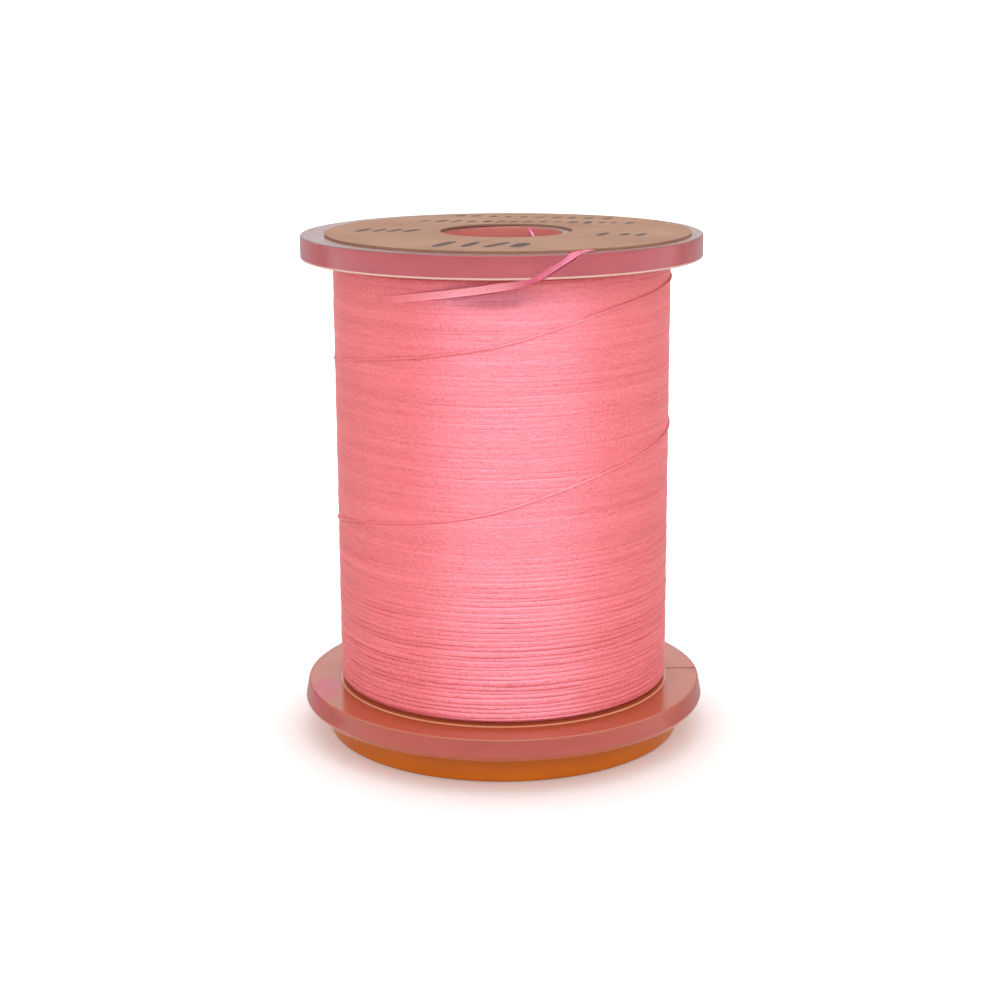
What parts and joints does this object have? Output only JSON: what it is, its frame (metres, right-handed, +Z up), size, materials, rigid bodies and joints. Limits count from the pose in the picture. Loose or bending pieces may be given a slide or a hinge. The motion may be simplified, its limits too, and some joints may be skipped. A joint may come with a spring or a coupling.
{
  "type": "thread spool",
  "caption": "Small two-flange spool of fine pink tying thread with a paper top label, slit rims, a central peg bore and a snap-in orange thread-lock base.",
  "frame": {"origin": "centre of the face of the base that the spool stands on", "axes": "+Z up along the spool's axis, -Y towards the front, where the slanted slit in the top flange is"},
  "size_m": [0.0258, 0.0258, 0.0321],
  "materials": {
    "spool_plastic": "frosted translucent natural polypropylene",
    "base_plastic": "translucent orange, lightly glossy",
    "label_paper": "uncoated tan kraft paper with faded dark print",
    "thread": "fluorescent pink multifilament with a soft silky sheen"
  },
  "bodies": {
    "spool": {"spool_barrel": "spool_plastic", "top_flange": "spool_plastic", "lower_flange": "spool_plastic", "top_label": "label_paper", "thread_winding": "thread", "crossing_strand": "thread", "slit_strands": "thread", "finish_tail": "thread", "start_tail": "thread"},
    "base": {"thread_lock_base": "base_plastic"}
  },
  "joints": [
    {"name": "base_pull", "type": "slide", "parent": "spool", "child": "base", "axis": [0, 0, -1], "range_m": [0, 0.0016]}
  ]
}
